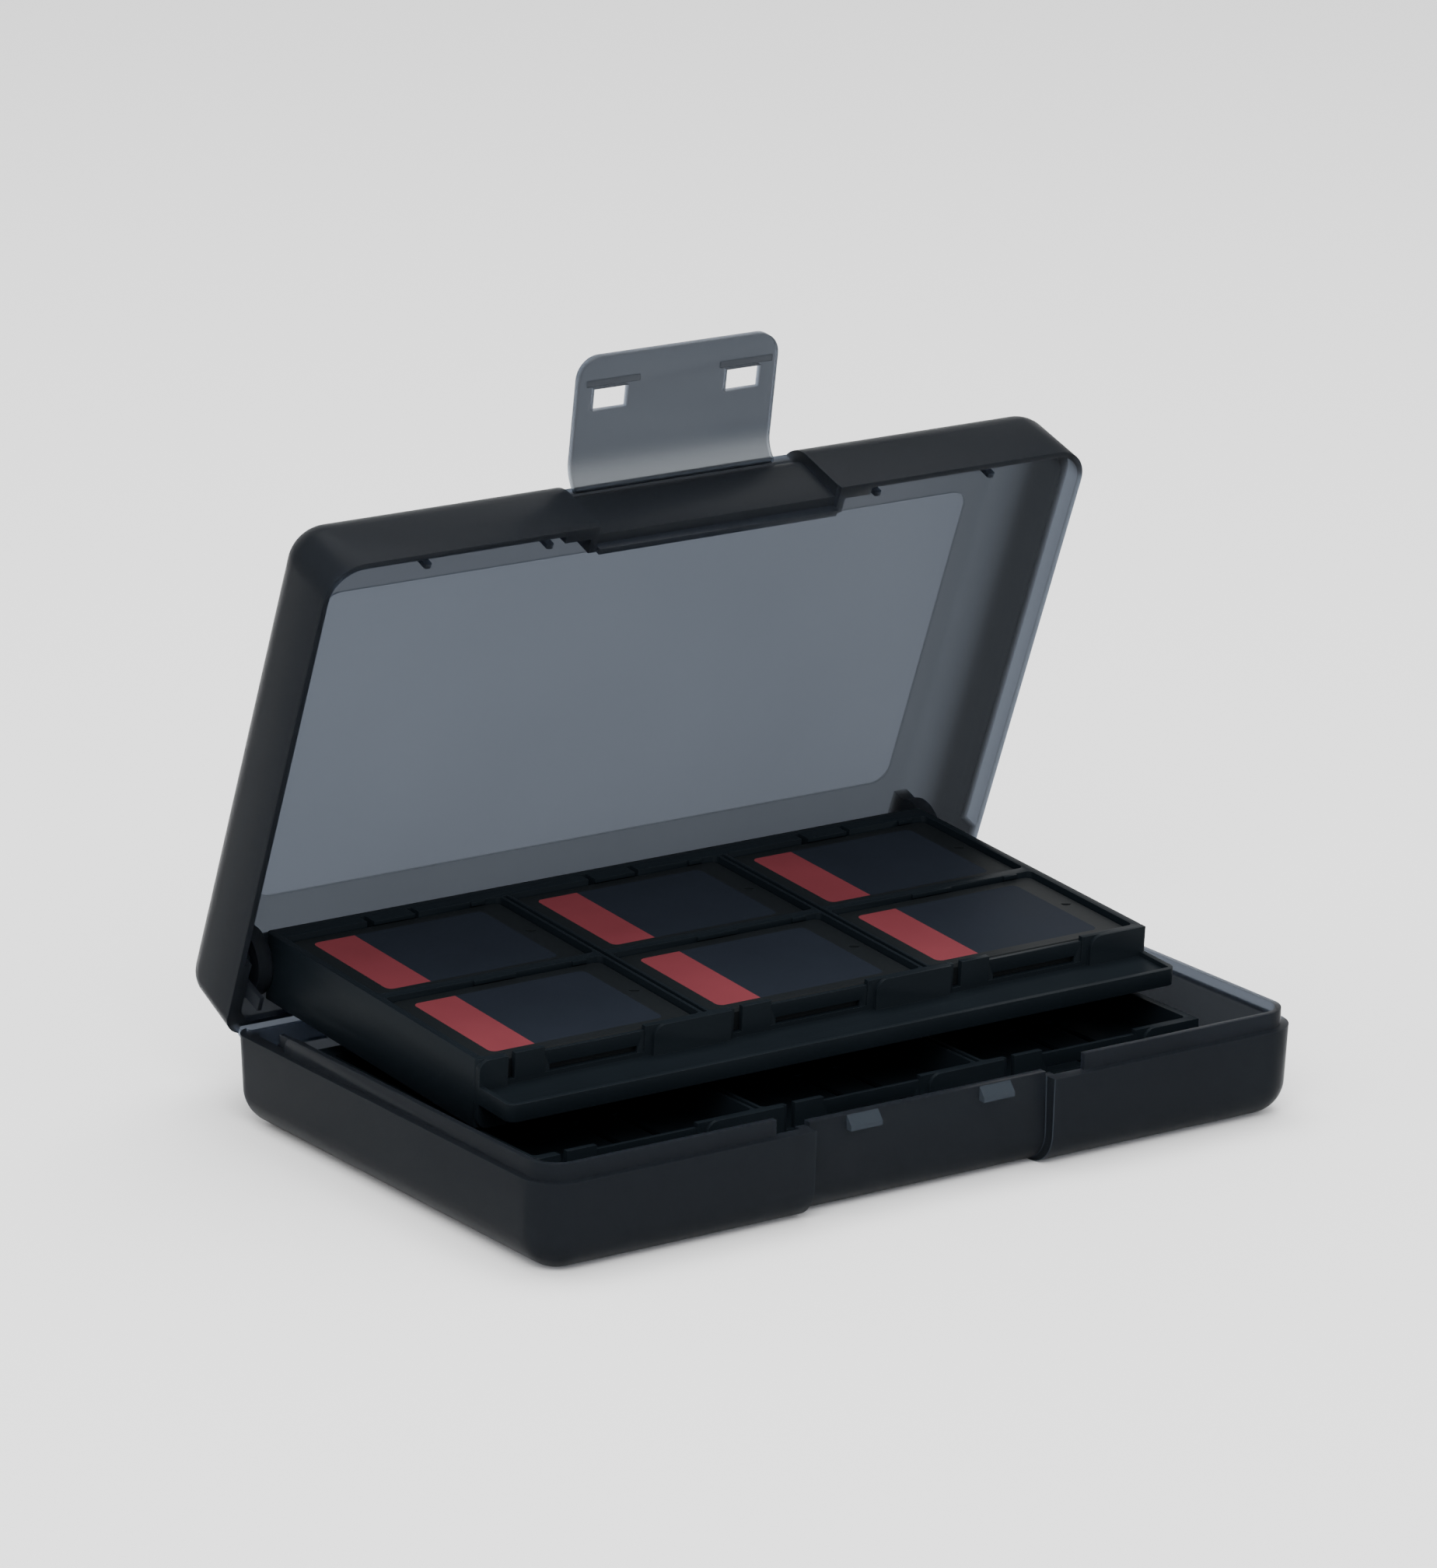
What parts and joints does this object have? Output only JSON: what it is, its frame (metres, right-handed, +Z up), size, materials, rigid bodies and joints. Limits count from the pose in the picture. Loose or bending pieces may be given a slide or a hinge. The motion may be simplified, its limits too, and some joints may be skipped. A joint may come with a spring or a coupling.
{
  "type": "hinged game card case",
  "caption": "Shallow two-part plastic case on a film hinge, with a clasp flap and two swinging card trays.",
  "frame": {"origin": "middle of the base's flat underside, measured across the closed base", "axes": "+X along the hinge to the right, +Y from the clasp to the hinge, +Z up"},
  "size_m": [0.113, 0.0817, 0.0941],
  "materials": {
    "shell_smoke": "translucent smoke-grey moulded plastic, glossy",
    "tray_black": "black moulded plastic, satin",
    "card_plastic": "fine-grained dark grey plastic",
    "label_dark": "plain dark label, semi-gloss",
    "label_red": "plain dark red label band, semi-gloss"
  },
  "bodies": {
    "base": {"base_shell": "shell_smoke"},
    "hinge": {"hinge_strip": "shell_smoke"},
    "lid": {"lid_shell": "shell_smoke"},
    "clasp": {"clasp_flap": "shell_smoke"},
    "upper_tray": {"upper_tray": "tray_black", "card_front_left": "card_plastic", "label_front_left": "label_dark", "strip_front_left": "label_red", "card_rear_left": "card_plastic", "label_rear_left": "label_dark", "strip_rear_left": "label_red", "card_front_middle": "card_plastic", "label_front_middle": "label_dark", "strip_front_middle": "label_red", "card_rear_middle": "card_plastic", "label_rear_middle": "label_dark", "strip_rear_middle": "label_red", "card_front_right": "card_plastic", "label_front_right": "label_dark", "strip_front_right": "label_red", "card_rear_right": "card_plastic", "label_rear_right": "label_dark", "strip_rear_right": "label_red"},
    "lower_tray": {"lower_tray": "tray_black"}
  },
  "joints": [
    {"name": "lid_swing", "type": "hinge", "parent": "base", "child": "hinge", "pos_m": [0, 0.03445, 0.00905], "axis": [1, 0, 0], "range_deg": [-1, 57]},
    {"name": "lid_fold", "type": "hinge", "parent": "hinge", "child": "lid", "pos_m": [0, 0.03789, 0.01128], "axis": [1, 0, 0], "range_deg": [-0.22, 11.81]},
    {"name": "upper_tray_swing", "type": "hinge", "parent": "lid", "child": "upper_tray", "pos_m": [0, 0.04002, 0.01838], "axis": [1, 0, 0], "range_deg": [-72.71, 1.28]},
    {"name": "clasp_swing", "type": "hinge", "parent": "lid", "child": "clasp", "pos_m": [0, 0.02226, 0.07732], "axis": [1, 0, 0], "range_deg": [-12, 102.8]},
    {"name": "lower_tray_swing", "type": "hinge", "parent": "base", "child": "lower_tray", "pos_m": [0, 0.0286, 0.00585], "axis": [-1, 0, 0], "range_deg": [0, 0.3]}
  ],
  "couplings": [
    {"joint": "lid_fold", "follows": "lid_swing", "ratio": 0.20702},
    {"joint": "upper_tray_swing", "follows": "lid_swing", "ratio": -1.2754}
  ]
}
